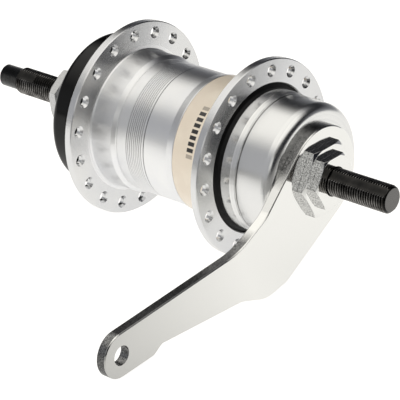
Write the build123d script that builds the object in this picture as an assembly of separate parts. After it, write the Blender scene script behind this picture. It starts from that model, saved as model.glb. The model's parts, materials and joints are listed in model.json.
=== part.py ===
from build123d import *
import math
import os

# Bicycle hub gear: three speeds, coaster brake, one epicyclic train on a fixed sun.
# Millimetres. The axle lies along Y, +Y is the brake (left) side, +X the way the brake arm points, +Z is up.
# The origin is on the axle's axis, midway between the two locknut faces.

# --- driving dimensions ---------------------------------------------------------------------------------------
OVER_LOCKNUTS = 120.0
LEFT_FACE = OVER_LOCKNUTS / 2
RIGHT_FACE = -OVER_LOCKNUTS / 2

# axle
AXLE_R = 4.7625                 # 3/8 in thread, drawn at its major diameter where it stands free
AXLE_CORE_R = 4.45              # the thread's pitch radius, at which the axle and its nuts and cones meet
AXLE_LEFT_END = 83.0
AXLE_RIGHT_END = -89.7
STUB_R = 3.9
STUB_START = -81.4
FLAT_HALF = 4.45                # half the width across the axle's flats
FLAT_ANGLE = 49.0               # direction of the flats' normal
FLAT_LENGTH = 8.4               # of the drive side flats; the brake side ones reach the locknut
PUSHROD_BORE_R = 2.6
KEY_ROOM_R = 2.9                # the wider end of the bore, where the key slides
AXLE_FIT = 0.02                 # radial gap of the pieces that are tight on the axle
NUT_FACE_GAP = 0.05             # between a locknut's face and the free thread's first turn
SPIN_FIT = 0.06                 # radial gap of the pieces that turn on the axle

# shell
BARREL_R = 23.1
BIG_SECTION_R = 24.2
BIG_SECTION_END = -16.2
BORE_R = 20.6                   # brake drum and gear room
CUP_BORE_R = 21.5
FLANGE_R = 34.1
FLANGE_THICKNESS = 2.8
LEFT_FLANGE_FACE = 30.0         # outer face of the brake side flange
RIGHT_FLANGE_FACE = -28.6       # outer face of the drive side flange
SPOKE_CIRCLE_R = 30.1
SPOKE_COUNT = 18                # in each flange
SPOKE_HOLE_R = 1.4
COUNTERSINK_R = 2.15
LEFT_SPOKE_START = -3.0
RIGHT_SPOKE_START = 7.0
FLANGE_BEVEL = 0.3
FIRST_GROOVE, GROOVE_PITCH, GROOVE_COUNT = -10.7, 0.82, 9       # fine turned rings round the barrel
GROOVE_DEPTH, GROOVE_WIDTH = 0.22, 0.4
LONE_GROOVE = -3.0
LABEL_START, LABEL_END = 10.2, 23.6
LABEL_THICKNESS = 0.15
LABEL_SEAT_R = 23.5             # under the label, between a rounded step up from the barrel and a low lip
LABEL_LIP_R = 23.7
SEAL_SEAT_R = 25.6
SEAL_SEAT_START = 28.4

# gear train
MODULE = 0.8
SUN_TEETH = 16
PLANET_TEETH = 14
RING_TEETH = SUN_TEETH + 2 * PLANET_TEETH
PLANET_COUNT = 3
FIRST_PLANET_ANGLE = 90.0
PLANET_CIRCLE_R = MODULE * (SUN_TEETH + PLANET_TEETH) / 2
ADDENDUM = 0.8 * MODULE
DEDENDUM = 1.1 * MODULE
TOOTH_THINNING = 0.06           # taken off each flank for backlash
PRESSURE_ANGLE = math.radians(20)
GEAR_START, GEAR_END = -4.0, 8.0
PLANET_PIN_R = 2.0
RING_OUTER_R = 20.3
RING_BELL_R = 18.8

# ratchets and pawls
RING_PAWL_SEAT_R = 17.6         # outside of the ring gear's neck
RING_RATCHET_R, RING_RATCHET_TEETH = 18.0, 24
CARRIER_SEAT_R = 18.0
CARRIER_RATCHET_R, CARRIER_RATCHET_TEETH = 18.4, 30
RATCHET_DEPTH = 1.2
PAWL_PIVOT_R = 1.3
PAWL_LENGTH = 7.0
PAWL_PIVOT_DEPTH = 1.7          # of the pivot's axis below the seat's surface
PAWL_GAP = 0.08
LEAF_THICKNESS, LEAF_WIDTH = 0.3, 2.0
LEAF_GAP = 0.03
RING_PAWL_ANGLES = (14.5, 194.5)
CARRIER_PAWL_ANGLES = (56.6, 236.6)
RING_PAWL_SPAN = (-20.6, -14.4)
CARRIER_PAWL_SPAN = (9.2, 12.8)

# clutch
CLUTCH_R = 10.6
CLUTCH_START, CLUTCH_END = -18.4, -13.4
CLUTCH_TRAVEL = 4.0
LUG_COUNT = 3
KEY_WIDTH, KEY_LENGTH = 3.0, 13.6
KEY_CENTRE = -16.0
SKIRT_R, SKIRT_BORE_R = 13.1, 10.9

# bearings: ball radius, number of balls, circle radius, place along the axle
CONE_BALLS = (1.9, 9, 10.2, -45.0)
CUP_BALLS = (1.6, 20, 17.8, -30.5)
BRAKE_BALLS = (2.0, 14, 17.5, 25.6)
BALL_GAP = 0.05

# brake
SHOE_COUNT = 3
SHOE_R, SHOE_INNER_R = 20.2, 14.8
SHOE_START, SHOE_END = 14.2, 21.4
SHOE_ARC = 104.0
ROLLER_R, ROLLER_COUNT, ROLLER_CIRCLE_R = 1.8, 6, 12.7
CAM_R, CAM_FLAT = 10.7, 10.2

# brake side
CAP_R = 23.7
CAP_SKIRT_R = 24.1
CAP_START, CAP_GROOVE, CAP_END = 31.7, 37.7, 51.3
CAP_WALL = 1.1
CAP_SHOULDER_R = 3.4
ARM_BACK, ARM_THICKNESS = 51.3, 3.3
ARM_FACE = ARM_BACK + ARM_THICKNESS
ARM_HEAD_R = 17.45
ARM_HOLE = (97.3, -27.1)        # X and Z of the strap hole
ARM_HOLE_R = 3.25
ARM_TIP_R = 7.55
CONE_BOSS_R = 9.0
ARM_NUT_AF, ARM_NUT_THICKNESS = 23.0, 2.75
LOCK_NUT_AF = 17.0
NUT_MOUTH_R = 5.1
HEX_ANGLE = -3.5                # one corner of the brake side nuts
RIGHT_HEX_ANGLE = 20.0

# drive side
COVER_R = 26.9
COVER_START, COVER_END = -42.2, -34.6
SPROCKET_SEAT_R = 17.4
SPROCKET_SEAT_START = -49.0
COVER_SEAT_R = 17.0             # where the cover grips the driver
SNAP_RING_GROOVE = -47.8
NOTCH_FLOOR_R, NOTCH_WIDTH = 15.5, 7.0      # for the three tabs inside a sprocket
DRIVER_SHOULDER_R, DRIVER_SHOULDER = 20.0, -41.0


# --- helpers --------------------------------------------------------------------------------------------------
def around(shape, angle):
    """Turns a shape about the axle; angles run from +X towards +Z."""
    return Rot(0, -angle, 0) * shape


def spread(shape, count, start=0.0):
    """Copies a shape evenly round the axle."""
    return [around(shape, start + 360 * i / count) for i in range(count)]


def turned(points, rounds=None):
    """Revolves an outline of (radius, place along Y) points about the axle, rounding the corners named."""
    face = make_face(Polyline(*points, close=True))
    for index, radius in (rounds or {}).items():
        corner = Vector(*points[index])
        nearest = min(face.vertices(), key=lambda v: (Vector(v.X, v.Y) - corner).length)
        face = fillet(nearest, radius)
    return revolve(face, Axis.Y)


def ring(outer, inner, start, end):
    return turned([(inner, start), (outer, start), (outer, end), (inner, end)])


def rod(radius, start, end, x=0.0, z=0.0):
    """A cylinder parallel to the axle."""
    length = end - start
    return Pos(x, (start + end) / 2, z) * Rot(90, 0, 0) * Cylinder(radius, length)


def slab(outline, start, end):
    """Extrudes a closed outline of (X, Z) points along the axle."""
    face = make_face(Polyline(*[(x, z) for x, z in outline], close=True))
    # the sketch plane's normal is -Y, so the sketch's second axis is +Z
    return Pos(0, end, 0) * extrude(Plane.XZ * face, end - start)


def hexagon(across_flats, start, end, angle, chamfer_face=None):
    """A hexagon prism; chamfer_face takes the corners off that end (+1 or -1)."""
    corner = across_flats / math.sqrt(3)
    points = [(corner * math.cos(math.radians(angle + 60 * i)), corner * math.sin(math.radians(angle + 60 * i)))
              for i in range(6)]
    body = slab(points, start, end)
    if chamfer_face is None:
        return body
    edge_r = across_flats / 2 + 0.35
    far = corner + 1
    slope = (far - edge_r) * math.tan(math.radians(30))
    if chamfer_face > 0:
        cone = turned([(0, start - 1), (far, start - 1), (far, end - slope), (edge_r, end), (0, end)])
    else:
        cone = turned([(0, end + 1), (far, end + 1), (far, start + slope), (edge_r, start), (0, start)])
    return body & cone


def torus(circle_r, tube_r, y):
    return Pos(0, y, 0) * Rot(90, 0, 0) * Torus(circle_r, tube_r)


def one(shape):
    """The single solid of a result."""
    solids = shape.solids()
    return max(solids, key=lambda s: s.volume)


def group(shapes):
    return Compound(children=[one(s) for s in shapes])


# --- gear teeth -----------------------------------------------------------------------------------------------
def involute(angle):
    return math.tan(angle) - angle


def gear_outline(teeth, root_r, tip_r, thinning, phase):
    """Points of a spur gear with one tooth centred on the phase angle (degrees)."""
    pitch_r = MODULE * teeth / 2
    base_r = pitch_r * math.cos(PRESSURE_ANGLE)
    low_r = max(root_r, base_r + 0.01)
    steps = 5
    flank = []
    if root_r < low_r:
        flank.append((root_r, None))
    for i in range(steps):
        r = low_r + (tip_r - low_r) * i / (steps - 1)
        flank.append((r, math.acos(base_r / r)))
    start_half = math.pi / (2 * teeth) + involute(PRESSURE_ANGLE) - thinning / pitch_r
    low_half = start_half - involute(math.acos(base_r / low_r))
    halves = [(r, low_half if a is None else start_half - involute(a)) for r, a in flank]
    points = []
    for tooth in range(teeth):
        centre = math.radians(phase) + 2 * math.pi * tooth / teeth
        side = [(r, centre - h) for r, h in halves] + [(r, centre + h) for r, h in reversed(halves)]
        points += [(r * math.cos(a), r * math.sin(a)) for r, a in side]
    return points


def planet_angles():
    return [FIRST_PLANET_ANGLE + 360 * i / PLANET_COUNT for i in range(PLANET_COUNT)]


def planet_phase(angle):
    """Tooth angle that puts a planet in mesh with the sun, which has a tooth on +X."""
    sun_pitch = 360 / SUN_TEETH
    offset = (-angle) % sun_pitch
    return angle + 180 - offset * SUN_TEETH / PLANET_TEETH + 180 / PLANET_TEETH


def ring_phase():
    """Angle of one of the ring gear's tooth spaces, in mesh with the first planet."""
    angle = planet_angles()[0]
    past = (planet_phase(angle) - angle) % (360 / PLANET_TEETH)
    return angle + past * PLANET_TEETH / RING_TEETH


def planet_place(angle):
    return (PLANET_CIRCLE_R * math.cos(math.radians(angle)), PLANET_CIRCLE_R * math.sin(math.radians(angle)))


# --- axle and what is fixed to it -----------------------------------------------------------------------------
def axle():
    chamfer_size = 0.8
    right_thread_end = RIGHT_FACE - NUT_FACE_GAP
    left_thread_start = LEFT_FACE + NUT_FACE_GAP
    body = turned([
        (0, AXLE_RIGHT_END), (STUB_R - 0.5, AXLE_RIGHT_END), (STUB_R, AXLE_RIGHT_END + 0.5),
        (STUB_R, STUB_START), (AXLE_R - chamfer_size, STUB_START), (AXLE_R, STUB_START + chamfer_size),
        (AXLE_R, right_thread_end), (AXLE_CORE_R, right_thread_end),
        (AXLE_CORE_R, left_thread_start), (AXLE_R, left_thread_start),
        (AXLE_R, AXLE_LEFT_END - chamfer_size), (AXLE_R - chamfer_size, AXLE_LEFT_END), (0, AXLE_LEFT_END)])
    for start, end in ((LEFT_FACE + 0.5, AXLE_LEFT_END + 1), (STUB_START - 1, STUB_START + FLAT_LENGTH)):
        for side in (0, 180):
            cutter = Pos(FLAT_HALF + 5, (start + end) / 2, 0) * Box(10, end - start, 20)
            keep = rod(STUB_R, STUB_START - 2, STUB_START)
            body -= around(cutter - keep, FLAT_ANGLE + side)
    slot_start = KEY_CENTRE - KEY_WIDTH / 2 - 0.4
    slot_end = KEY_CENTRE + CLUTCH_TRAVEL + KEY_WIDTH / 2 + 0.4
    body -= rod(PUSHROD_BORE_R, AXLE_RIGHT_END - 1, slot_start)
    body -= rod(KEY_ROOM_R, slot_start - 1.0, slot_end + 2.0)
    body -= Pos(0, (slot_start + slot_end) / 2, 0) * Box(20, slot_end - slot_start, KEY_WIDTH + 0.1)
    return body


def sun_gear():
    outline = gear_outline(SUN_TEETH, MODULE * SUN_TEETH / 2 - 0.7, MODULE * SUN_TEETH / 2 + ADDENDUM,
                           TOOTH_THINNING, 0.0)
    return on_axle(slab(outline, GEAR_START - 0.8, GEAR_END + 0.5))


def on_axle(body):
    return body - rod(AXLE_CORE_R + AXLE_FIT, RIGHT_FACE - 1, LEFT_FACE + 1)


def right_cone():
    ball_r, _, circle_r, y = CONE_BALLS
    body = turned([(0, -54.6), (9.0, -54.6), (9.0, -50.4), (circle_r - 0.6, -49.6), (circle_r - 0.6, y - 0.2),
                   (7.6, y + 1.8), (6.6, y + 3.0), (0, y + 3.0)])
    body -= torus(circle_r, ball_r + BALL_GAP, y)
    return on_axle(body)


def right_lock_washer():
    return on_axle(turned([(0, -57.0), (8.6, -57.0), (8.6, -54.6), (0, -54.6)]))


def nut_mouth(face_y, inwards):
    """The countersink at the outer end of a locknut's thread; inwards is the way into the nut, +1 or -1."""
    depth = NUT_MOUTH_R - AXLE_CORE_R
    return turned([(0, face_y), (NUT_MOUTH_R, face_y), (AXLE_CORE_R, face_y + inwards * depth),
                   (0, face_y + inwards * depth)])


def right_lock_nut():
    body = on_axle(hexagon(LOCK_NUT_AF, RIGHT_FACE, -57.0, RIGHT_HEX_ANGLE, -1))
    return body - nut_mouth(RIGHT_FACE, 1)


def left_cone():
    """The brake cone: anchor for the shoes inside, ball race, and a boss with two flats for the arm."""
    ball_r, _, circle_r, y = BRAKE_BALLS
    body = turned([
        (0, 21.7), (20.1, 21.7), (20.1, 22.5), (circle_r - 1.0, 22.7), (circle_r - 1.0, y),
        (circle_r - 2.6, y + 2.2), (13.0, y + 2.4), (13.0, ARM_BACK - CAP_WALL), (CONE_BOSS_R, ARM_BACK - CAP_WALL),
        (CONE_BOSS_R, ARM_FACE - 0.2), (0, ARM_FACE - 0.2)])
    body -= torus(circle_r, ball_r + BALL_GAP, y)
    for side in (0, 180):
        flat = Pos(CONE_BOSS_R + 3.2, ARM_BACK + 2, 0) * Box(8, 8 - 2 * CAP_WALL + 2.0, 30)
        body -= around(flat, FLAT_ANGLE + side)
    gap_middle = FIRST_PLANET_ANGLE + 180 / SHOE_COUNT
    finger = Pos(17.1, (15.2 + 21.9) / 2, 0) * Box(3.6, 6.7, 3.0)
    for piece in spread(finger, SHOE_COUNT, gap_middle):
        body += piece
    return on_axle(body)


def cone_boss_hole(start, end):
    """The hole with two flats that fits the brake cone's boss."""
    hole = rod(CONE_BOSS_R + 0.05, start, end)
    for side in (0, 180):
        hole -= around(Pos(CONE_BOSS_R - 0.8 + 5.05, (start + end) / 2, 0) * Box(10, end - start + 2, 30),
                       FLAT_ANGLE + side)
    return hole


def left_dust_cap():
    outer = [(CONE_BOSS_R - 3, CAP_END), (CAP_R, CAP_END), (CAP_R, CAP_GROOVE + 0.35),
             (CAP_R - 0.3, CAP_GROOVE), (CAP_R, CAP_GROOVE - 0.35), (CAP_R, CAP_START + 5.2),
             (CAP_SKIRT_R, CAP_START + 3.6), (CAP_SKIRT_R, CAP_START)]
    inner = [(CAP_SKIRT_R - CAP_WALL, CAP_START), (CAP_R - CAP_WALL - 0.2, CAP_START + 3.4),
             (CAP_R - CAP_WALL - 0.2, CAP_END - CAP_WALL), (CONE_BOSS_R - 3, CAP_END - CAP_WALL)]
    body = turned(outer + inner, {1: CAP_SHOULDER_R, len(outer) + 2: CAP_SHOULDER_R - CAP_WALL})
    return body - cone_boss_hole(CAP_END - 3, CAP_END + 1)


def arm_outline():
    """Upper edge from the head to the tip, and the lower edge back, as (X, Z) corners with their radii."""
    upper = [((28.6, -5.0), 12.0), ((42.0, -12.4), 30.0)]
    lower = [((82.4, -33.0), 2.5), ((78.7, -30.4), 2.5), ((40.0, -30.4), 14.0), ((27.5, -34.0), 12.0),
             ((17.5, -31.6), 6.0)]
    return upper, lower


def tangent_point(centre, radius, target, side):
    """Where the line from target touches a circle; side picks one of the two."""
    dx, dz = target[0] - centre[0], target[1] - centre[1]
    distance = math.hypot(dx, dz)
    angle = math.atan2(dz, dx) + side * math.acos(radius / distance)
    return (centre[0] + radius * math.cos(angle), centre[1] + radius * math.sin(angle))


def rounded_face(points):
    """A closed (X, Z) face from (point, radius) corners; radius 0 stays sharp."""
    face = make_face(Polyline(*[p for p, _ in points], close=True))
    for place, radius in points:
        if radius:
            corner = Vector(*place)
            nearest = min(face.vertices(), key=lambda v: (Vector(v.X, v.Y) - corner).length)
            face = fillet(nearest, radius)
    return face


def brake_arm():
    upper, lower = arm_outline()
    head_top = tangent_point((0, 0), ARM_HEAD_R, upper[0][0], 1)
    tip_top = tangent_point(ARM_HOLE, ARM_TIP_R, upper[-1][0], -1)
    tip_low = tangent_point(ARM_HOLE, ARM_TIP_R, lower[0][0], 1)
    head_low = tangent_point((0, 0), ARM_HEAD_R, lower[-1][0], -1)
    corners = ([((0, 0), 0), (head_top, 0)] + upper + [(tip_top, 0), (ARM_HOLE, 0), (tip_low, 0)] + lower
               + [(head_low, 0)])
    web = Pos(0, ARM_FACE, 0) * extrude(Plane.XZ * rounded_face(corners), ARM_THICKNESS)
    body = web + rod(ARM_HEAD_R, ARM_BACK, ARM_FACE)
    body += rod(ARM_TIP_R, ARM_BACK, ARM_FACE, ARM_HOLE[0], ARM_HOLE[1])
    body = chamfer(body.faces().sort_by(Axis.Y)[-1].outer_wire().edges(), 0.35)
    body -= rod(ARM_HOLE_R, ARM_BACK - 1, ARM_FACE + 1, ARM_HOLE[0], ARM_HOLE[1])
    return body - cone_boss_hole(ARM_BACK - 1, ARM_FACE + 1)


def brake_arm_nut():
    return on_axle(hexagon(ARM_NUT_AF, ARM_FACE, ARM_FACE + ARM_NUT_THICKNESS, HEX_ANGLE, 1))


def left_lock_nut():
    start = ARM_FACE + ARM_NUT_THICKNESS
    return on_axle(hexagon(LOCK_NUT_AF, start, LEFT_FACE, HEX_ANGLE, 1)) - nut_mouth(LEFT_FACE, -1)


# --- shell ----------------------------------------------------------------------------------------------------
def groove(radius, depth, width, y):
    return ring(radius + 1, radius - depth, y - width / 2, y + width / 2)


def spoke_holes(face_y, other_y, start):
    """Holes with a countersink on both faces of a flange."""
    middle = (face_y + other_y) / 2
    half = abs(face_y - other_y) / 2
    rise = COUNTERSINK_R - SPOKE_HOLE_R
    profile = [(0, -half - 1), (COUNTERSINK_R + 1, -half - 1), (SPOKE_HOLE_R, -half + rise),
               (SPOKE_HOLE_R, half - rise), (COUNTERSINK_R + 1, half + 1), (0, half + 1)]
    hole = Pos(SPOKE_CIRCLE_R, middle, 0) * turned(profile)
    return spread(hole, SPOKE_COUNT, start)


def hub_shell():
    left_back = LEFT_FLANGE_FACE - FLANGE_THICKNESS
    right_front = RIGHT_FLANGE_FACE + FLANGE_THICKNESS
    bevel = FLANGE_BEVEL
    left_neck = left_back - 2.2
    outline = [
        (CUP_BORE_R, -33.0), (CUP_BORE_R + 2.8, -33.0), (CUP_BORE_R + 2.8, RIGHT_FLANGE_FACE),
        (FLANGE_R - bevel, RIGHT_FLANGE_FACE), (FLANGE_R, RIGHT_FLANGE_FACE + bevel),
        (FLANGE_R, right_front - bevel), (FLANGE_R - bevel, right_front),
        (BIG_SECTION_R + 0.4, right_front), (BIG_SECTION_R, right_front + 0.4),
        (BIG_SECTION_R, BIG_SECTION_END - 0.5), (BARREL_R, BIG_SECTION_END + 0.6),
        (BARREL_R, 7.0), (LABEL_LIP_R, LABEL_START - 0.4), (LABEL_LIP_R, LABEL_START),
        (LABEL_SEAT_R, LABEL_START), (LABEL_SEAT_R, LABEL_END), (LABEL_LIP_R, LABEL_END),
        (BARREL_R + 1.2, left_neck), (BARREL_R + 3.0, left_back), (FLANGE_R - bevel, left_back),
        (FLANGE_R, left_back + bevel), (FLANGE_R, LEFT_FLANGE_FACE - bevel),
        (FLANGE_R - bevel, LEFT_FLANGE_FACE), (SEAL_SEAT_R + 0.4, LEFT_FLANGE_FACE),
        (SEAL_SEAT_R, LEFT_FLANGE_FACE - 0.4),
        (SEAL_SEAT_R, SEAL_SEAT_START), (22.0, SEAL_SEAT_START), (22.0, 23.5), (BORE_R, 23.5),
        (BORE_R, -13.2), (CUP_BORE_R, -13.2)]
    body = turned(outline)
    body -= groove(BARREL_R, 0.12, 0.3, -14.9)
    for i in range(GROOVE_COUNT):
        body -= groove(BARREL_R, GROOVE_DEPTH, GROOVE_WIDTH, FIRST_GROOVE + i * GROOVE_PITCH)
    body -= groove(BARREL_R, 0.25, 0.4, LONE_GROOVE)
    for hole in spoke_holes(LEFT_FLANGE_FACE, left_back, LEFT_SPOKE_START):
        body -= hole
    for hole in spoke_holes(RIGHT_FLANGE_FACE, right_front, RIGHT_SPOKE_START):
        body -= hole
    return body


def shell_label():
    return ring(LABEL_SEAT_R + LABEL_THICKNESS, LABEL_SEAT_R, LABEL_START + 0.1, LABEL_END - 0.1)


def left_seal():
    return turned([(17.2, 28.9), (20.6, SEAL_SEAT_START), (SEAL_SEAT_R, SEAL_SEAT_START),
                   (SEAL_SEAT_R, 29.2), (24.2, 30.0), (23.6, 31.4), (17.2, 31.4)])


def ratchet_bore(radius, teeth, start, end):
    """The inside of a ratchet: saw teeth that stand in to the radius given."""
    outer = radius + RATCHET_DEPTH
    points = []
    for i in range(teeth):
        angle = 2 * math.pi * i / teeth
        pitch = 2 * math.pi / teeth
        for r, part in ((radius, 0.0), (radius, 0.14), (outer, 0.24), (outer, 0.5)):
            points.append((r * math.cos(angle + part * pitch), r * math.sin(angle + part * pitch)))
    return slab(points, start, end)


def right_ball_cup():
    ball_r, _, circle_r, y = CUP_BALLS
    body = turned([(circle_r + 0.5, y), (circle_r + 0.5, -35.4), (CUP_BORE_R, -35.4), (CUP_BORE_R, -13.2),
                   (15.0, -13.2), (15.0, -22.6), (circle_r - 0.6, -24.6)])
    body -= torus(circle_r, ball_r + BALL_GAP, y)
    body -= ring(circle_r + 0.5, 0, -24.0, y)
    return body - ratchet_bore(RING_RATCHET_R, RING_RATCHET_TEETH, -24.0, -10)


def left_ball_cup():
    ball_r, _, circle_r, y = BRAKE_BALLS
    body = turned([(circle_r + 1.0, SEAL_SEAT_START), (22.0, SEAL_SEAT_START), (22.0, 23.5), (20.9, 23.5),
                   (circle_r + 1.0, y)])
    return body - torus(circle_r, ball_r + BALL_GAP, y)


def ratchet_ring():
    body = ring(BORE_R, 10, 8.9, 13.1)
    return body - ratchet_bore(CARRIER_RATCHET_R, CARRIER_RATCHET_TEETH, 8, 14)


# --- bearings -------------------------------------------------------------------------------------------------
def ball_set(spec):
    ball_r, count, circle_r, y = spec
    return group(spread(Pos(circle_r, y, 0) * Sphere(ball_r), count))


def ball_retainer(spec):
    ball_r, count, circle_r, y = spec
    body = ring(circle_r + 0.22 * ball_r, circle_r - 0.22 * ball_r, y - 1.3 * ball_r, y + 1.3 * ball_r)
    for pocket in spread(Pos(circle_r, y, 0) * Rot(0, 90, 0) * Cylinder(ball_r + BALL_GAP, ball_r), count):
        body -= pocket
    return body


# --- driver ---------------------------------------------------------------------------------------------------
def driver():
    """Notched sprocket seat outside, ball races in the middle, slotted skirt for the clutch inside."""
    cone_ball_r, _, cone_circle_r, cone_y = CONE_BALLS
    cup_ball_r, _, cup_circle_r, cup_y = CUP_BALLS
    body = turned([
        (13.2, SPROCKET_SEAT_START), (SPROCKET_SEAT_R, SPROCKET_SEAT_START), (SPROCKET_SEAT_R, COVER_START),
        (COVER_SEAT_R, COVER_START), (COVER_SEAT_R, DRIVER_SHOULDER), (DRIVER_SHOULDER_R, DRIVER_SHOULDER), (DRIVER_SHOULDER_R, DRIVER_SHOULDER + 1.6),
        (cup_circle_r - 0.6, DRIVER_SHOULDER + 1.6),
        (cup_circle_r - 0.6, cup_y), (cup_circle_r - 1.9, cup_y + 1.4), (15.6, -25.4), (SKIRT_R, -24.4),
        (SKIRT_R, -12.8), (SKIRT_BORE_R, -12.8), (SKIRT_BORE_R, -37.0), (cone_circle_r + 0.9, cone_y + 2.2),
        (cone_circle_r + 1.3, cone_y), (12.2, cone_y - 1.0), (13.2, cone_y - 2.0)])
    body -= torus(cone_circle_r, cone_ball_r + BALL_GAP, cone_y)
    body -= torus(cup_circle_r, cup_ball_r + BALL_GAP, cup_y)
    body -= groove(SPROCKET_SEAT_R, 0.7, 1.1, SNAP_RING_GROOVE)
    notch_start = SPROCKET_SEAT_START - 1
    notch = Pos(NOTCH_FLOOR_R + 2, (notch_start + COVER_START) / 2, 0)
    notch = notch * Box(4, COVER_START - notch_start, NOTCH_WIDTH)
    for piece in spread(notch, LUG_COUNT, 30):
        body -= piece
    slot = Pos(12.5, -17.0, 0) * Box(6.0, 10.4, 4.1)
    for piece in spread(slot, LUG_COUNT, 30):
        body -= piece
    return body


def driver_dust_cap():
    """The black cover: a deep disc with a rounded outer edge and a smaller collar towards the shell."""
    collar_r = CUP_BORE_R + 3.7
    return turned([
        (COVER_SEAT_R, DRIVER_SHOULDER), (COVER_SEAT_R, COVER_START), (COVER_R, COVER_START),
        (COVER_R, COVER_END), (collar_r, COVER_END), (collar_r, RIGHT_FLANGE_FACE - 0.4),
        (collar_r - 0.6, RIGHT_FLANGE_FACE - 0.4), (collar_r - 0.6, -36.4), (DRIVER_SHOULDER_R, -37.6),
        (DRIVER_SHOULDER_R, DRIVER_SHOULDER)], {2: 2.6, 3: 0.6})


# --- gears ----------------------------------------------------------------------------------------------------
def planet(angle):
    x, z = planet_place(angle)
    pitch_r = MODULE * PLANET_TEETH / 2
    outline = gear_outline(PLANET_TEETH, pitch_r - DEDENDUM, pitch_r + ADDENDUM, TOOTH_THINNING,
                           planet_phase(angle))
    body = slab(outline, GEAR_START + 0.4, GEAR_END - 0.4) - rod(PLANET_PIN_R + 0.05, GEAR_START, GEAR_END)
    return Pos(x, 0, z) * body


def planet_pins():
    return group([rod(PLANET_PIN_R, -6.6, 10.8, *planet_place(a)) for a in planet_angles()])


def pawl_tail(seat_r, inner, outer, length):
    """Outline of a folded pawl's tail along +Z; inner and outer grow its two long sides."""
    pivot_x = seat_r - PAWL_PIVOT_DEPTH
    tip_x = math.sqrt((seat_r - 0.15) ** 2 - PAWL_LENGTH ** 2)
    return [(pivot_x - 0.6 - inner, 0), (pivot_x + 0.75 + outer, 0), (tip_x + outer, length),
            (tip_x - 1.5 - inner, length)]


def pawl(seat_r, start, end, angle):
    """One folded pawl, lying on +X before it is turned to its angle."""
    start, end = start + PAWL_GAP, end - PAWL_GAP
    body = rod(PAWL_PIVOT_R, start, end, seat_r - PAWL_PIVOT_DEPTH, 0)
    return around(body + slab(pawl_tail(seat_r, 0, 0, PAWL_LENGTH), start, end), angle)


def pawl_pocket(seat_r, start, end, angle):
    """Room for the folded pawl, open outwards so that it can swing up, and for the leaf spring under it."""
    pocket = rod(PAWL_PIVOT_R + PAWL_GAP, start, end, seat_r - PAWL_PIVOT_DEPTH, 0)
    pocket += slab(pawl_tail(seat_r, PAWL_GAP, 4, PAWL_LENGTH + 0.6), start, end)
    return around(pocket + leaf_spring(seat_r, start, end, LEAF_GAP), angle)


def leaf_spring(seat_r, start, end, gap=0.0):
    """A flat spring under a pawl's tail, its foot hooked into the seat; gap grows it into its own channel."""
    inner = [(x, z) for x, z in pawl_tail(seat_r, PAWL_GAP, 0, PAWL_LENGTH)]
    (base_x, _), _, _, (end_x, length) = inner
    lean = (end_x - base_x) / length
    near, far = 1.9 - gap, PAWL_LENGTH - 0.8 + gap
    thickness = LEAF_THICKNESS + gap
    foot = 1.2 + gap
    side = [(base_x + lean * near, near), (base_x + lean * far, far), (base_x + lean * far - thickness, far),
            (base_x + lean * (near + 0.4 + 2 * gap) - thickness, near + 0.4 + 2 * gap),
            (base_x + lean * near - foot, near + 0.4 + 2 * gap), (base_x + lean * near - foot, near)]
    middle, half = (start + end) / 2, LEAF_WIDTH / 2 + gap
    return slab(side, middle - half, middle + half)


def leaf_springs(seat_r, span, angles):
    return group([around(leaf_spring(seat_r, *span), angle) for angle in angles])


def ring_gear():
    body = turned([(SKIRT_R + 0.3, -21.4), (RING_PAWL_SEAT_R, -21.4), (RING_PAWL_SEAT_R, -12.6),
                   (RING_OUTER_R, -12.2), (RING_OUTER_R, GEAR_END), (RING_BELL_R, GEAR_END),
                   (RING_BELL_R, -10.4), (SKIRT_R + 0.3, -10.4)])
    teeth = ring(RING_BELL_R, 10, GEAR_START, GEAR_END)
    pitch_r = MODULE * RING_TEETH / 2
    teeth -= slab(gear_outline(RING_TEETH, pitch_r - ADDENDUM, pitch_r + DEDENDUM, -TOOTH_THINNING, ring_phase()),
                  GEAR_START - 1, GEAR_END + 1)
    body += teeth
    for angle in RING_PAWL_ANGLES:
        body -= pawl_pocket(RING_PAWL_SEAT_R, *RING_PAWL_SPAN, angle)
    return body


def planet_carrier():
    """Left plate with the pawl seats, three bridges between the planets, and the brake cam."""
    body = ring(CARRIER_SEAT_R, 0, 9.0, 13.0)
    cam = rod(CAM_R, 13.0, SHOE_END)
    for piece in spread(Pos(CAM_FLAT + 5, 18, 0) * Box(10, 30, 30), ROLLER_COUNT):
        cam -= piece
    body += cam
    bridge = ring(15.6, 8.6, -5.0, 9.0)
    for angle in planet_angles():
        x, z = planet_place(angle)
        bridge -= rod(6.9, -6, 9.0, x, z)
    body += bridge
    for angle in planet_angles():
        body -= rod(PLANET_PIN_R, 8, 10.8, *planet_place(angle))
    for angle in CARRIER_PAWL_ANGLES:
        body -= pawl_pocket(CARRIER_SEAT_R, *CARRIER_PAWL_SPAN, angle)
    return body - rod(AXLE_CORE_R + SPIN_FIT, 8.5, 30)


def carrier_cover():
    body = ring(15.6, 8.6, -8.2, -5.0)
    for angle in planet_angles():
        body -= rod(PLANET_PIN_R, -6.6, 0, *planet_place(angle))
    return body


# --- clutch ---------------------------------------------------------------------------------------------------
def clutch():
    body = ring(CLUTCH_R, 7.1, CLUTCH_START, CLUTCH_END)
    body += ring(7.2, AXLE_CORE_R + 0.3, CLUTCH_END - 1.0, CLUTCH_END)
    lug = Pos(11.3, (CLUTCH_START + CLUTCH_END) / 2, 0) * Box(3.0, CLUTCH_END - CLUTCH_START, 3.8)
    for piece in spread(lug, LUG_COUNT, 30):
        body += piece
    return body


def axle_key():
    return Pos(0, KEY_CENTRE, 0) * Box(KEY_LENGTH, KEY_WIDTH, KEY_WIDTH)


def clutch_washer():
    return ring(7.0, AXLE_CORE_R + 0.3, CLUTCH_START, CLUTCH_START + 0.7)


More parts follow.
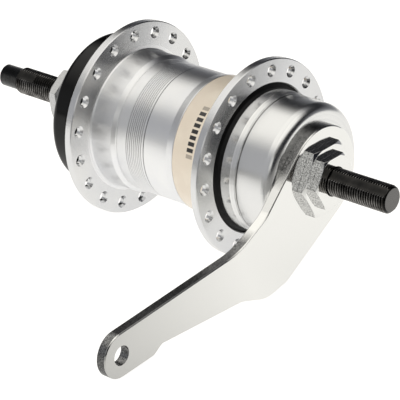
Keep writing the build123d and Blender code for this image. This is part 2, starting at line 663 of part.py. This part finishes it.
def clutch_spring():
    """Six and a half turns of wire between the right cone and the clutch washer."""
    wire_r, start, end = 0.5, -41.4, CLUTCH_START - 0.1
    path = Helix(pitch=(end - start - 2 * wire_r) / 6.5, height=end - start - 2 * wire_r, radius=6.3)
    coil = sweep(Plane(path @ 0, z_dir=path % 0) * Circle(wire_r), path)
    return Pos(0, start + wire_r, 0) * Rot(-90, 0, 0) * coil


# --- brake ----------------------------------------------------------------------------------------------------
def brake_shoe(angle):
    body = ring(SHOE_R, SHOE_INNER_R, SHOE_START, SHOE_END)
    half = math.radians(SHOE_ARC / 2)
    reach = 40
    wedge = slab([(0, 0), (reach * math.cos(half), -reach * math.sin(half)), (2 * reach, 0),
                  (reach * math.cos(half), reach * math.sin(half))], SHOE_START - 1, SHOE_END + 1)
    body = (body & wedge) - groove(SHOE_R, 1.5, 1.6, (SHOE_START + SHOE_END) / 2)
    return around(body, angle)


def shoe_spring():
    middle = (SHOE_START + SHOE_END) / 2
    wire = revolve(Plane.XY * Pos(19.55, middle) * Circle(0.45), Axis.Y, 350)
    return around(wire, FIRST_PLANET_ANGLE + 180 / SHOE_COUNT + 5)


def roller_guide():
    body = ring(14.2, 11.2, SHOE_START, SHOE_END)
    for piece in spread(rod(ROLLER_R + 0.05, SHOE_START + 0.8, SHOE_END - 0.8, ROLLER_CIRCLE_R), ROLLER_COUNT):
        body -= piece
    return body


def brake_rollers():
    return group(spread(rod(ROLLER_R, SHOE_START + 1.0, SHOE_END - 1.0, ROLLER_CIRCLE_R), ROLLER_COUNT))


# --- the whole hub --------------------------------------------------------------------------------------------
def build():
    nodes = {
        "axle": axle(), "sun_gear": sun_gear(), "right_cone": right_cone(),
        "right_lock_washer": right_lock_washer(), "right_lock_nut": right_lock_nut(),
        "left_cone": left_cone(), "left_dust_cap": left_dust_cap(), "brake_arm": brake_arm(),
        "brake_arm_nut": brake_arm_nut(), "left_lock_nut": left_lock_nut(),
        "hub_shell": hub_shell(), "shell_label": shell_label(), "left_seal": left_seal(),
        "right_ball_cup": right_ball_cup(), "left_ball_cup": left_ball_cup(), "ratchet_ring": ratchet_ring(),
        "cone_balls": ball_set(CONE_BALLS), "cone_ball_retainer": ball_retainer(CONE_BALLS),
        "cup_balls": ball_set(CUP_BALLS), "cup_ball_retainer": ball_retainer(CUP_BALLS),
        "brake_side_balls": ball_set(BRAKE_BALLS), "brake_side_ball_retainer": ball_retainer(BRAKE_BALLS),
        "driver": driver(), "driver_dust_cap": driver_dust_cap(), "ring_gear": ring_gear(),
        "planet_carrier": planet_carrier(), "carrier_cover": carrier_cover(), "planet_pins": planet_pins(),
        "ring_pawl_springs": leaf_springs(RING_PAWL_SEAT_R, RING_PAWL_SPAN, RING_PAWL_ANGLES),
        "carrier_pawl_springs": leaf_springs(CARRIER_SEAT_R, CARRIER_PAWL_SPAN, CARRIER_PAWL_ANGLES),
        "clutch": clutch(), "axle_key": axle_key(), "clutch_washer": clutch_washer(),
        "clutch_spring": clutch_spring(), "shoe_spring": shoe_spring(), "roller_guide": roller_guide(),
        "brake_rollers": brake_rollers()}
    for number, angle in enumerate(planet_angles(), 1):
        nodes[f"planet_gear_{number}"] = planet(angle)
        nodes[f"brake_shoe_{number}"] = brake_shoe(angle)
    for number, angle in enumerate(RING_PAWL_ANGLES, 1):
        nodes[f"ring_pawl_{number}"] = pawl(RING_PAWL_SEAT_R, *RING_PAWL_SPAN, angle)
    for number, angle in enumerate(CARRIER_PAWL_ANGLES, 1):
        nodes[f"carrier_pawl_{number}"] = pawl(CARRIER_SEAT_R, *CARRIER_PAWL_SPAN, angle)
    os.makedirs("parts", exist_ok=True)
    for name, shape in nodes.items():
        export_step(shape, f"parts/{name}.step")
    return nodes


build()
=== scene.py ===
import json
import math

import bmesh
import bpy
from mathutils import Matrix, Vector


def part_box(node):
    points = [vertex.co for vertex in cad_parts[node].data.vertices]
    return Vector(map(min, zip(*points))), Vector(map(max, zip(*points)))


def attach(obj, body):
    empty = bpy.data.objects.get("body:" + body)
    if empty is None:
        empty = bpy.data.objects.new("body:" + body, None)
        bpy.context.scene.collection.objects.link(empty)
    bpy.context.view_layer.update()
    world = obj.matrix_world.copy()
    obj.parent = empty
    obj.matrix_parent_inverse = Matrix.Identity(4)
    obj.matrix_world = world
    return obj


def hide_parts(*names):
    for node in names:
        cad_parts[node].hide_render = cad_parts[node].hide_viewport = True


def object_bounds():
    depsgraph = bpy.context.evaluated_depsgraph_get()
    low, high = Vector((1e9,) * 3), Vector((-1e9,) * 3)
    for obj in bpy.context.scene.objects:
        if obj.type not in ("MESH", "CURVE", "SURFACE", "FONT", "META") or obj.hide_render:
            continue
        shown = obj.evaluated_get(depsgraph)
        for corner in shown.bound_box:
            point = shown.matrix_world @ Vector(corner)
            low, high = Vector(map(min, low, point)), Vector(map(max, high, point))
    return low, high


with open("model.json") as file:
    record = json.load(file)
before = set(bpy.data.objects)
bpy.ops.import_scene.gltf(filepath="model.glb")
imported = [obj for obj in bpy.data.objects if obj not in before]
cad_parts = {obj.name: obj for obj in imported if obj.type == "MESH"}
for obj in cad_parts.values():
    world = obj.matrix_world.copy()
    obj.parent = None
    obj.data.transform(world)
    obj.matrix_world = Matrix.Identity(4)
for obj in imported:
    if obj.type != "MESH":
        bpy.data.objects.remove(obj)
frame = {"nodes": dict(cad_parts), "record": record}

CAD_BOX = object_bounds()
MM = 0.001

# The hub lies along Y with its brake side at +Y; these places are the CAD model's, in millimetres.
AXLE_LOW, AXLE_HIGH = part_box("axle")
AXLE_R = 4.7625
CORE_R = 4.45                   # where the free thread meets the plain middle of the axle
LEFT_FACE, RIGHT_FACE = 60.0, -60.0
LEFT_END, RIGHT_END = AXLE_HIGH.y / MM, AXLE_LOW.y / MM
STUB_R, STUB_START, STUB_CHAMFER = 3.9, -81.4, 0.5
BORE_R = 2.6
AXLE_CHAMFER = 0.8
FLAT_HALF, FLAT_ANGLE, RIGHT_FLAT_LENGTH = 4.45, math.radians(49), 8.4
THREAD_PITCH, THREAD_DEPTH = 0.977, 0.56
THREAD_SIDES, STEPS_PER_TURN = 120, 9
CAP_GROOVE = 37.7
BARREL_R, FLANGE_FOOT_R = 23.2, 25.7
GROOVES_START, GROOVES_END, GROOVE_PITCH, LONE_GROOVE = -10.7, -4.14, 0.82, -3.0
HIGHLIGHT_FROM, HIGHLIGHT_TO = 19.5, 36       # the slope below the brake arm's head, along X, where the arm's sides keep the bright plating: a painted highlight

# the label's printed bars, by angle round the hub and by place along it
BARS_START, BAR_STEP, BAR_COUNT = math.radians(8), math.radians(5.2), 9
BAR_FROM, BAR_TO = 16.0, 18.6

GRAIN_ROTATION = 0.25           # turns the anisotropic grain to run round the axle
FLANGE_TILT = 0.26              # slope by which the turned finish leans its shading away from the axle
SLOPE_SCALE_MM = 1000.0         # makes the height of a bump count in metres, so that its slope is kept

# the studio: directions are unit vectors, places along the view are in metres
SOFTBOX = (1.14, 1.12, 1.07)
SOFTBOX_HEIGHT, SOFTBOX_ACROSS, SOFTBOX_EDGE = (0.50, 0.74), (-0.42, 0.75), 0.14
PANEL, PANEL_LIGHT, PANEL_EDGE = (0.739, 0.597, 0.312), (0.8, 0.8, 0.78), (0.97, 0.99)
DARK = (0.015, 0.016, 0.02)
SHEET_LIGHT, SHEET_FADE, FAR_SHEET_LIGHT = 0.82, (0.06, 0.16), 0.06
FLOOR_HALF_SIZE, FLOOR_GAP = 12.0, 0.2 * MM

# camera: the point it looks at, the direction it looks from, its distance and lens
LOOK_AT = Vector((5.557, 6.929, -19.884)) * MM
AZIMUTH, ELEVATION = math.radians(130.69), math.radians(23.707)
DISTANCE = 834.1 * MM
LENS_MM = 221.7


# --- node trees -----------------------------------------------------------------------------------------------
class Tree:
    """Short ways to add and join the nodes of a material or world."""

    def __init__(self, owner):
        owner.use_nodes = True
        self.nodes, self.links = owner.node_tree.nodes, owner.node_tree.links

    def add(self, kind, inputs=(), **settings):
        node = self.nodes.new(kind)
        for name, value in settings.items():
            setattr(node, name, value)
        for key, value in dict(inputs).items():
            if isinstance(value, bpy.types.NodeSocket):
                self.links.new(value, node.inputs[key])
            else:
                node.inputs[key].default_value = value
        return node

    def math(self, operation, first, second=0.0):
        return self.add("ShaderNodeMath", {0: first, 1: second}, operation=operation).outputs[0]

    def ramp(self, value, stops):
        """A colour ramp; stops are (place, grey or RGB)."""
        node = self.add("ShaderNodeValToRGB", {"Fac": value})
        ramp = node.color_ramp
        ramp.interpolation = "EASE"
        while len(ramp.elements) < len(stops):
            ramp.elements.new(0.5)
        for element, (place, colour) in zip(ramp.elements, stops):
            element.position = place
            rgb = (colour,) * 3 if isinstance(colour, (int, float)) else colour
            element.color = (*rgb, 1)
        return node.outputs["Color"]

    def fade(self, value, low, high, start=0.0, end=1.0):
        """Goes from start to end as the value goes from low to high, and stays there outside."""
        node = self.add("ShaderNodeMapRange", {"Value": value, "From Min": low, "From Max": high,
                                               "To Min": start, "To Max": end})
        return node.outputs[0]

    def band(self, value, low, high, soft):
        """1 between low and high, 0 outside, with soft edges."""
        up = self.fade(value, low - soft, low + soft)
        down = self.fade(value, high - soft, high + soft, 1.0, 0.0)
        return self.math("MULTIPLY", up, down)

    def mix(self, factor, first, second):
        node = self.add("ShaderNodeMix", data_type="RGBA")
        for key, value in ((0, factor), (6, first), (7, second)):
            if isinstance(value, bpy.types.NodeSocket):
                self.links.new(value, node.inputs[key])
            elif key == 0:
                node.inputs[key].default_value = value
            else:
                node.inputs[key].default_value = (*value, 1)
        return node.outputs[2]

    def dot(self, vector, fixed):
        node = self.add("ShaderNodeVectorMath", {0: vector, 1: fixed}, operation="DOT_PRODUCT")
        return node.outputs["Value"]

    def forward(self, x, y):
        """How far a point or direction lies towards the photograph's viewpoint, on the level."""
        return self.math("ADD", self.math("MULTIPLY", x, math.sin(AZIMUTH)),
                         self.math("MULTIPLY", y, -math.cos(AZIMUTH)))


class Finish(Tree):
    """A material on one Principled shader, with the part's own cylindrical coordinates at hand."""

    def __init__(self, name, colour, metallic, roughness, anisotropy=0.0):
        self.material = bpy.data.materials.new(name)
        super().__init__(self.material)
        self.shader = self.nodes["Principled BSDF"]
        self.set("Base Color", (*colour, 1))
        self.set("Metallic", metallic)
        self.set("Roughness", roughness)
        self.set("Anisotropic", anisotropy)
        self.place = self.add("ShaderNodeTexCoord").outputs["Object"]
        axes = self.add("ShaderNodeSeparateXYZ", {0: self.place})
        self.x, self.y, self.z = axes.outputs
        self.bump_out = None

    def set(self, name, value):
        if isinstance(value, bpy.types.NodeSocket):
            self.links.new(value, self.shader.inputs[name])
        else:
            self.shader.inputs[name].default_value = value

    def radius(self):
        flat = self.add("ShaderNodeCombineXYZ", {0: self.x, 2: self.z})
        return self.add("ShaderNodeVectorMath", {0: flat.outputs[0]}, operation="LENGTH").outputs["Value"]

    def angle(self):
        return self.math("ARCTAN2", self.z, self.x)

    def along_normal(self):
        """How much a face looks along the axle, either way."""
        normal = self.add("ShaderNodeTexCoord").outputs["Normal"]
        return self.math("ABSOLUTE", self.add("ShaderNodeSeparateXYZ", {0: normal}).outputs[1])

    def noise(self, scale, detail=3.0):
        node = self.add("ShaderNodeTexNoise", {"Vector": self.place, "Scale": scale, "Detail": detail,
                                               "Roughness": 0.55})
        return node.outputs["Fac"]

    def line_noise(self, value, per_metre, detail=3.0):
        """Noise that changes along one value only, which draws fine lines."""
        node = self.add("ShaderNodeTexNoise", {"W": value, "Scale": per_metre, "Detail": detail},
                        noise_dimensions="1D")
        return node.outputs["Fac"]

    def bump(self, height, strength, distance_mm):
        inputs = {"Height": height, "Strength": strength, "Distance": distance_mm * MM}
        if self.bump_out is not None:
            inputs["Normal"] = self.bump_out
        self.bump_out = self.add("ShaderNodeBump", inputs).outputs[0]
        self.set("Normal", self.bump_out)

    def vary(self, name, value, low, high):
        self.set(name, self.fade(value, 0.3, 0.7, low, high))

    def turned(self):
        """Points the shader's grain round the axle, as a lathe leaves it."""
        tangent = self.add("ShaderNodeTangent", direction_type="RADIAL", axis="Y")
        self.set("Tangent", tangent.outputs[0])
        self.set("Anisotropic Rotation", GRAIN_ROTATION)


# --- materials ------------------------------------------------------------------------------------------------
def turned_aluminium():
    look = Finish("turned_aluminium", (0.86, 0.86, 0.87), 1.0, 0.25, 0.5)
    look.turned()
    lines = look.line_noise(look.math("ADD", look.radius(), look.y), 9000.0, 4.0)
    satin = look.fade(look.radius(), 24.5 * MM, 26 * MM, 0.27, 0.17)     # barrel to flange
    look.set("Roughness", look.math("ADD", satin, look.math("MULTIPLY", lines, 0.12)))
    look.bump(lines, 0.25, 0.03)
    # the flat flange faces are shaded as if they leaned away from the axle; their mesh stays flat
    look.bump(look.math("MULTIPLY", look.radius(), -FLANGE_TILT), 1.0, SLOPE_SCALE_MM)
    bright = look.ramp(look.noise(60.0, 4.0), [(0.3, (0.83, 0.835, 0.85)), (0.7, (0.88, 0.88, 0.875))])
    on_flange = look.math("GREATER_THAN", look.radius(), FLANGE_FOOT_R * MM)
    bright = look.mix(look.math("MULTIPLY", on_flange, 0.14), bright, (0.0, 0.0, 0.0))
    # the grooves round the barrel are painted dark in the base colour: painted shade in the grooves
    step = look.math("SUBTRACT", look.y, (GROOVES_START - GROOVE_PITCH / 2) * MM)
    ripple = look.math("PINGPONG", step, GROOVE_PITCH / 2 * MM)      # 0 between two grooves, most in each
    grooves = look.math("MULTIPLY", look.band(ripple, 0.27 * MM, MM, 0.06 * MM),
                        look.band(look.y, (GROOVES_START - 0.3) * MM, (GROOVES_END + 0.3) * MM, 0.01 * MM))
    single = look.band(look.y, (LONE_GROOVE - 0.2) * MM, (LONE_GROOVE + 0.2) * MM, 0.02 * MM)
    on_barrel = look.math("LESS_THAN", look.radius(), BARREL_R * MM)
    groove_shade = look.math("MULTIPLY", look.math("MAXIMUM", grooves, single), on_barrel)
    look.set("Base Color", look.mix(look.math("MULTIPLY", groove_shade, 0.6), bright, (0.22, 0.22, 0.23)))
    return look.material


def polished_steel():
    look = Finish("polished_steel", (0.82, 0.82, 0.81), 1.0, 0.2)
    look.turned()
    look.bump(look.line_noise(look.math("ADD", look.radius(), look.y), 2500.0, 5.0), 0.12, 0.05)
    look.vary("Roughness", look.noise(45.0, 5.0), 0.16, 0.27)
    # the groove round the cap is painted dark: painted shade in the groove
    cap_groove_shade = look.band(look.y, (CAP_GROOVE - 0.25) * MM, (CAP_GROOVE + 0.25) * MM, 0.06 * MM)
    streak = look.ramp(look.line_noise(look.radius(), 3000.0),
                       [(0.3, (0.76, 0.76, 0.755)), (0.7, (0.84, 0.84, 0.83))])
    look.set("Base Color", look.mix(look.math("MULTIPLY", cap_groove_shade, 0.8), streak, (0.12, 0.12, 0.12)))
    look.bump(look.noise(90.0, 2.0), 0.12, 0.12)
    return look.material


def chrome(name, dark, light, with_painted_highlight=False, sheared_depth=0.05):
    """Bright plating; the sides that a press cut keep a rough grain, from the dark grey to the light one; where
    those greys are low they are partly painted shade.
    """
    plating = (0.86, 0.858, 0.835)
    look = Finish(name, plating, 1.0, 0.08)
    look.bump_out = look.add("ShaderNodeBevel", {"Radius": 0.25 * MM}, samples=6).outputs[0]
    side_grain_and_shade = look.math("LESS_THAN", look.along_normal(), 0.4)
    if with_painted_highlight:                                   # the slope below the arm's head keeps the bright plating colour on its sides: a painted highlight
        highlight_band = look.band(look.x, HIGHLIGHT_FROM * MM, HIGHLIGHT_TO * MM, 2.5 * MM)
        side_grain_and_shade = look.math("MULTIPLY", side_grain_and_shade, look.math("SUBTRACT", 1.0, highlight_band))
    grain = look.noise(2600.0, 3.0)
    look.set("Base Color", look.mix(side_grain_and_shade, plating, look.ramp(grain, [(0.36, dark), (0.64, light)])))
    look.bump(look.noise(160.0, 3.0), 0.1, 0.05)
    look.bump(look.math("MULTIPLY", grain, side_grain_and_shade), 0.4, sheared_depth)
    smudge = look.fade(look.noise(70.0, 5.0), 0.3, 0.7, 0.05, 0.11)
    look.set("Roughness", look.math("ADD", smudge, look.math("MULTIPLY", side_grain_and_shade, 0.14)))
    return look.material


def black_oxide():
    look = Finish("black_oxide", (0.10, 0.095, 0.09), 1.0, 0.25)
    look.vary("Roughness", look.noise(900.0, 4.0), 0.18, 0.34)
    # the thread's crests are painted brighter than its roots, and brighter than the flats: a painted highlight
    # on the crests and painted shade in the roots
    crest_height = look.fade(look.radius(), (AXLE_R - THREAD_DEPTH) * MM, AXLE_R * MM)
    off_flat = look.math("ABSOLUTE", look.dot(look.place, (math.cos(FLAT_ANGLE), 0, math.sin(FLAT_ANGLE))))
    flat = look.math("GREATER_THAN", off_flat, (FLAT_HALF - 0.04) * MM)
    crest_highlight = look.math("MULTIPLY", crest_height, look.math("SUBTRACT", 1.0, look.math("MULTIPLY", flat, 0.7)))
    tone = look.math("MULTIPLY", look.noise(300.0, 3.0), crest_highlight)
    metal = look.ramp(tone, [(0.0, (0.012, 0.012, 0.012)), (0.25, (0.06, 0.057, 0.054)),
                             (0.6, (0.32, 0.31, 0.30))])
    sawn = look.math("GREATER_THAN", look.along_normal(), 0.9)
    look.set("Base Color", look.mix(sawn, metal, (0.15, 0.147, 0.144)))
    look.bump(look.noise(2500.0, 2.0), 0.12, 0.02)
    return look.material


def black_plastic():
    look = Finish("black_plastic", (0.005, 0.005, 0.005), 0.0, 0.28)
    look.set("Specular IOR Level", 0.25)
    look.vary("Roughness", look.noise(500.0, 4.0), 0.1, 0.16)
    look.set("Base Color", look.ramp(look.noise(80.0, 2.0), [(0.3, (0.001, 0.001, 0.001)),
                                                             (0.7, (0.002, 0.002, 0.0018))]))
    look.bump(look.noise(6000.0, 1.0), 0.08, 0.02)
    return look.material


def rubber():
    look = Finish("seal_rubber", (0.003, 0.003, 0.003), 0.0, 0.4)
    look.set("Specular IOR Level", 0.2)
    look.vary("Roughness", look.noise(700.0, 3.0), 0.35, 0.5)
    look.bump(look.line_noise(look.radius(), 4000.0), 0.2, 0.05)
    return look.material


def label_film():
    """A cream film with a plain row of short dark bars round the hub."""
    look = Finish("label_film", (0.9, 0.8, 0.67), 0.0, 0.3)
    look.set("Coat Weight", 0.35)
    look.set("Coat Roughness", 0.12)
    paper = look.ramp(look.noise(120.0, 3.0), [(0.3, (0.73, 0.635, 0.515)), (0.7, (0.79, 0.70, 0.575))])
    turn = look.math("DIVIDE", look.math("SUBTRACT", look.angle(), BARS_START), BAR_STEP)
    in_row = look.band(look.math("FLOOR", turn), 0, BAR_COUNT - 1, 0.1)
    bar = look.band(look.math("FRACT", turn), 0.18, 0.82, 0.02)
    tall = look.band(look.y, BAR_FROM * MM, BAR_TO * MM, 0.05 * MM)
    ink = look.math("MULTIPLY", look.math("MULTIPLY", bar, tall), in_row)
    look.set("Base Color", look.mix(ink, paper, (0.02, 0.018, 0.017)))
    look.vary("Roughness", look.noise(400.0, 3.0), 0.28, 0.38)
    return look.material


def machined_steel(name, colour, roughness, low, high):
    look = Finish(name, colour, 1.0, roughness, 0.3)
    look.turned()
    lines = look.line_noise(look.math("ADD", look.radius(), look.y), 6000.0, 4.0)
    look.vary("Roughness", look.noise(150.0, 4.0), low, high)
    look.bump(lines, 0.2, 0.03)
    dark = tuple(0.82 * c for c in colour)
    look.set("Base Color", look.ramp(look.noise(90.0, 4.0), [(0.3, dark), (0.7, colour)]))
    return look.material


# --- axle with its thread -------------------------------------------------------------------------------------
def thread_radius(y, angle):
    """The thread's surface: a V with a narrow crest and root, wound along the axle."""
    turn = (y / THREAD_PITCH + angle / (2 * math.pi)) % 1.0
    wave = abs(2 * turn - 1)                       # 0 at the root, 1 at the crest
    rise = min(max((wave - 0.14) / 0.72, 0.0), 1.0)
    return AXLE_R - THREAD_DEPTH * (1 - rise)


def flatted_thread(y, angle):
    """The thread where two smooth flats are milled across it."""
    facing = abs(math.cos(angle - FLAT_ANGLE))
    return FLAT_HALF / facing if facing * AXLE_R > FLAT_HALF else thread_radius(y, angle)


def free_thread(y, angle):
    """The free thread with the chamfers at its ends, and with flats where the axle has them."""
    past = max(y - (LEFT_END - AXLE_CHAMFER), (STUB_START + AXLE_CHAMFER) - y, 0.0)
    inner = flatted_thread if (y > 0 or y < STUB_START + RIGHT_FLAT_LENGTH) else thread_radius
    return min(inner(y, angle), AXLE_R - past)


def add_rings(mesh, stations):
    """Adds rings of vertices joined by quads; each station is (y, function of angle, or a radius)."""
    rings = []
    for y, shape in stations:
        ring = []
        for i in range(THREAD_SIDES):
            angle = 2 * math.pi * i / THREAD_SIDES
            radius = shape(y, angle) if callable(shape) else shape
            ring.append(mesh.verts.new((radius * math.cos(angle) * MM, y * MM, radius * math.sin(angle) * MM)))
        rings.append(ring)
    for low, high in zip(rings, rings[1:]):
        for i in range(THREAD_SIDES):
            j = (i + 1) % THREAD_SIDES
            mesh.faces.new((low[i], low[j], high[j], high[i]))
    return rings


def spaced(start, end):
    """Places from start to end, a small part of the thread's pitch apart."""
    count = max(1, round(abs(end - start) / (THREAD_PITCH / STEPS_PER_TURN)))
    return [start + (end - start) * i / count for i in range(count + 1)]


def build_axle():
    """The CAD axle's inside and middle, with modelled thread, flats and chamfers on its two free ends."""
    mesh = bmesh.new()
    mesh.from_mesh(frame["nodes"]["axle"].data)
    limit = (LEFT_FACE - 0.01) * MM
    outside = [f for f in mesh.faces
               if all(abs(v.co.y) > limit for v in f.verts)
               and any(math.hypot(v.co.x, v.co.z) > (BORE_R + 0.2) * MM for v in f.verts)]
    bmesh.ops.delete(mesh, geom=outside, context="FACES")
    left = [(LEFT_FACE, CORE_R)] + [(y, free_thread) for y in spaced(LEFT_FACE, LEFT_END)]
    left += [(LEFT_END, AXLE_R - AXLE_CHAMFER - 0.3), (LEFT_END, 0.02)]
    right = [(RIGHT_FACE, CORE_R)] + [(y, free_thread) for y in spaced(RIGHT_FACE, STUB_START)]
    right += [(STUB_START, STUB_R), (RIGHT_END + STUB_CHAMFER, STUB_R),
              (RIGHT_END, STUB_R - STUB_CHAMFER), (RIGHT_END, BORE_R)]
    ends = add_rings(mesh, left)
    mesh.faces.new(ends[-1])
    add_rings(mesh, right)
    bmesh.ops.recalc_face_normals(mesh, faces=mesh.faces[:])
    data = bpy.data.meshes.new("axle_threaded")
    mesh.to_mesh(data)
    mesh.free()
    piece = bpy.data.objects.new("axle_threaded", data)
    bpy.context.scene.collection.objects.link(piece)
    data.shade_smooth()
    data.set_sharp_from_angle(angle=math.radians(28))
    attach(piece, "root")
    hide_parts("axle")
    return piece


# --- stage ----------------------------------------------------------------------------------------------------
def build_floor():
    """A plain white floor. What the metal mirrors of it is a sheet that ends a little in front of the hub."""
    size = FLOOR_HALF_SIZE
    data = bpy.data.meshes.new("floor")
    corners = [(-size, -size, 0), (size, -size, 0), (size, size, 0), (-size, size, 0)]
    data.from_pydata(corners, [], [(0, 1, 2, 3)])
    floor = bpy.data.objects.new("floor", data)
    floor.location.z = CAD_BOX[0].z - FLOOR_GAP
    bpy.context.scene.collection.objects.link(floor)
    look = Finish("floor_white", (0.3, 0.3, 0.297), 0.0, 0.6)
    look.set("Emission Color", (1.0, 0.99, 0.965, 1))
    sheet = look.fade(look.forward(look.x, look.y), *SHEET_FADE, SHEET_LIGHT, FAR_SHEET_LIGHT)
    seen = look.add("ShaderNodeLightPath").outputs["Is Camera Ray"]
    look.set("Emission Strength", look.math("MAXIMUM", sheet, seen))
    data.materials.append(look.material)


def build_world():
    """A soft studio: a softbox high on the far side, dark walls, and plain white as a backdrop."""
    world = bpy.data.worlds.new("studio")
    bpy.context.scene.world = world
    tree = Tree(world)
    direction = tree.add("ShaderNodeTexCoord").outputs["Generated"]
    across, along, height = tree.add("ShaderNodeSeparateXYZ", {0: direction}).outputs
    walls = tree.ramp(height, [(0.0, (0.36, 0.365, 0.38)), (0.22, (0.15, 0.153, 0.165)), (0.45, DARK),
                               (0.65, (0.02, 0.021, 0.025)), (1.0, (0.3, 0.3, 0.32))])
    walls = tree.mix(tree.fade(across, 0.1, 0.7), walls, (0.45, 0.455, 0.47))
    # a dark side, beyond the brake side of the hub
    near = tree.fade(tree.forward(across, along), -0.1, 0.15)
    facing = tree.fade(along, 0.3, 0.7)
    walls = tree.mix(tree.math("MULTIPLY", near, facing), walls, DARK)
    # a small panel beside it
    walls = tree.mix(tree.fade(tree.dot(direction, PANEL), *PANEL_EDGE), walls, PANEL_LIGHT)
    box = tree.math("MULTIPLY", tree.fade(height, *SOFTBOX_HEIGHT),
                    tree.band(across, *SOFTBOX_ACROSS, SOFTBOX_EDGE))
    room = tree.mix(box, walls, SOFTBOX)
    seen = tree.add("ShaderNodeLightPath").outputs["Is Camera Ray"]
    background = tree.nodes["Background"]
    tree.links.new(tree.mix(seen, room, (1.0, 1.0, 1.0)), background.inputs["Color"])
    background.inputs["Strength"].default_value = 1.0


def build_camera():
    back = Vector((math.sin(AZIMUTH) * math.cos(ELEVATION), -math.cos(AZIMUTH) * math.cos(ELEVATION),
                   math.sin(ELEVATION)))
    right = Vector((math.cos(AZIMUTH), math.sin(AZIMUTH), 0))
    turn = Matrix((right, back.cross(right), back)).transposed().to_4x4()
    data = bpy.data.cameras.new("camera")
    data.lens = LENS_MM
    data.clip_start, data.clip_end = 0.01, 100
    camera = bpy.data.objects.new("camera", data)
    camera.matrix_world = Matrix.Translation(LOOK_AT + back * DISTANCE) @ turn
    bpy.context.scene.collection.objects.link(camera)
    bpy.context.scene.camera = camera


def add_side_fill():
    """A weak area light that brightens the arm's side of the hub and isn't mirrored in the metal."""
    place, aim = Vector((0.6, 0.0, 0.06)), Vector((0, 0.015, 0))
    data = bpy.data.lights.new("side_fill", "AREA")
    data.shape = "RECTANGLE"
    data.size, data.size_y = 0.4, 0.3
    data.energy = 1.5
    light = bpy.data.objects.new("side_fill", data)
    light.visible_glossy = False
    light.location = place
    light.rotation_euler = (aim - place).to_track_quat("-Z", "Y").to_euler()
    bpy.context.scene.collection.objects.link(light)


def paint(material, node):
    data = frame["nodes"][node].data
    data.materials.clear()
    data.materials.append(material)


def paint_all():
    by_slot = {
        "chrome": chrome("chrome_nut", 0.3, 0.85),
        "polished_steel": polished_steel(),
        "shell_aluminium": turned_aluminium(),
        "black_plastic": black_plastic(),
        "seal_rubber": rubber(),
        "label_film": label_film(),
        "axle_black": black_oxide(),
        "hard_steel": machined_steel("hard_steel", (0.50, 0.50, 0.51), 0.3, 0.26, 0.38),
        "ball_steel": machined_steel("ball_steel", (0.75, 0.75, 0.77), 0.08, 0.05, 0.12),
        "spring_steel": machined_steel("spring_steel", (0.38, 0.38, 0.40), 0.3, 0.26, 0.4),
        "bronze": machined_steel("bronze", (0.62, 0.43, 0.22), 0.4, 0.35, 0.5)}
    for part in frame["record"]["subparts"]:
        paint(by_slot[part["material_slot"]], part["node"])
    # the arm's sides are painted very dark: partly rough grain, partly painted shade and painted dark
    # reflection, with a painted highlight on the slope below the head
    paint(chrome("chrome_arm", 0.07, 0.30, with_painted_highlight=True), "brake_arm")
    # the smooth nut's facets are painted a flat mid grey, well below its plating: painted shade
    paint(chrome("chrome_smooth_nut", 0.5, 0.58, sheared_depth=0.004), "right_lock_nut")
    return by_slot


def main():
    bpy.context.scene.view_settings.view_transform = "Standard"
    materials = paint_all()
    build_axle().data.materials.append(materials["axle_black"])
    build_floor()
    build_world()
    add_side_fill()
    build_camera()


main()
